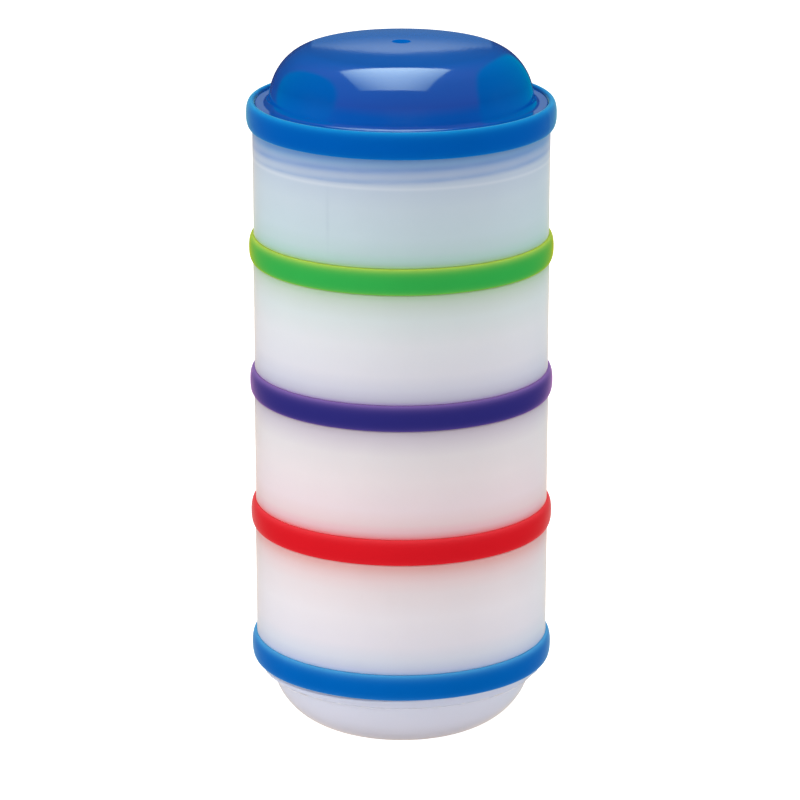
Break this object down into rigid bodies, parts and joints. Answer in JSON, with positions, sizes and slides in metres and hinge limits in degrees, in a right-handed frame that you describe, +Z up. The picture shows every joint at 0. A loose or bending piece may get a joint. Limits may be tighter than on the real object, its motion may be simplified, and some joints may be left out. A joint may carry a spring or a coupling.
{
  "type": "formula dispenser",
  "caption": "Stacking formula dispenser: translucent screw-together cups, each with a soft coloured ring round its foot, closed by a domed blue screw lid.",
  "frame": {"origin": "centre of the flat foot of the bottom cup, on the surface it stands on", "axes": "+Z up along the stack; X and Y across, the shape is turned about Z but for the threads"},
  "size_m": [0.0832, 0.0832, 0.1897],
  "materials": {
    "lid_blue": "glossy blue polypropylene",
    "ring_blue": "satin blue soft elastomer",
    "ring_green": "satin green soft elastomer",
    "ring_purple": "satin purple soft elastomer",
    "ring_red": "satin red soft elastomer",
    "cup_translucent": "milky translucent polypropylene, smooth satin"
  },
  "bodies": {
    "base": {"cup_4": "cup_translucent", "blue_ring": "ring_blue"},
    "red_ring": {"red_ring": "ring_red"},
    "cup_3": {"cup_3": "cup_translucent"},
    "purple_ring": {"purple_ring": "ring_purple"},
    "cup_2": {"cup_2": "cup_translucent"},
    "green_ring": {"green_ring": "ring_green"},
    "cup_1": {"cup_1": "cup_translucent"},
    "lid_ring": {"lid_ring": "ring_blue"},
    "lid": {"lid_dome": "lid_blue"}
  },
  "joints": [
    {"name": "cup_3_lift", "type": "slide", "parent": "base", "child": "red_ring", "axis": [0, 0, 1], "range_m": [0, 0.0242]},
    {"name": "cup_3_turn", "type": "hinge", "parent": "red_ring", "child": "cup_3", "pos_m": [0, 0, 0.05594], "axis": [0, 0, 1], "range_deg": [0, 1440]},
    {"name": "cup_2_lift", "type": "slide", "parent": "cup_3", "child": "purple_ring", "axis": [0, 0, 1], "range_m": [0, 0.0242]},
    {"name": "cup_2_turn", "type": "hinge", "parent": "purple_ring", "child": "cup_2", "pos_m": [0, 0, 0.09314], "axis": [0, 0, 1], "range_deg": [0, 1440]},
    {"name": "cup_1_lift", "type": "slide", "parent": "cup_2", "child": "green_ring", "axis": [0, 0, 1], "range_m": [0, 0.0242]},
    {"name": "cup_1_turn", "type": "hinge", "parent": "green_ring", "child": "cup_1", "pos_m": [0, 0, 0.13034], "axis": [0, 0, 1], "range_deg": [0, 1440]},
    {"name": "lid_lift", "type": "slide", "parent": "cup_1", "child": "lid_ring", "axis": [0, 0, 1], "range_m": [0, 0.0242]},
    {"name": "lid_turn", "type": "hinge", "parent": "lid_ring", "child": "lid", "pos_m": [0, 0, 0.16754], "axis": [0, 0, 1], "range_deg": [0, 1440]}
  ],
  "couplings": [
    {"joint": "cup_3_lift", "follows": "cup_3_turn", "m_per_rad": 0.00095493},
    {"joint": "cup_2_lift", "follows": "cup_2_turn", "m_per_rad": 0.00095493},
    {"joint": "cup_1_lift", "follows": "cup_1_turn", "m_per_rad": 0.00095493},
    {"joint": "lid_lift", "follows": "lid_turn", "m_per_rad": 0.00095493}
  ]
}
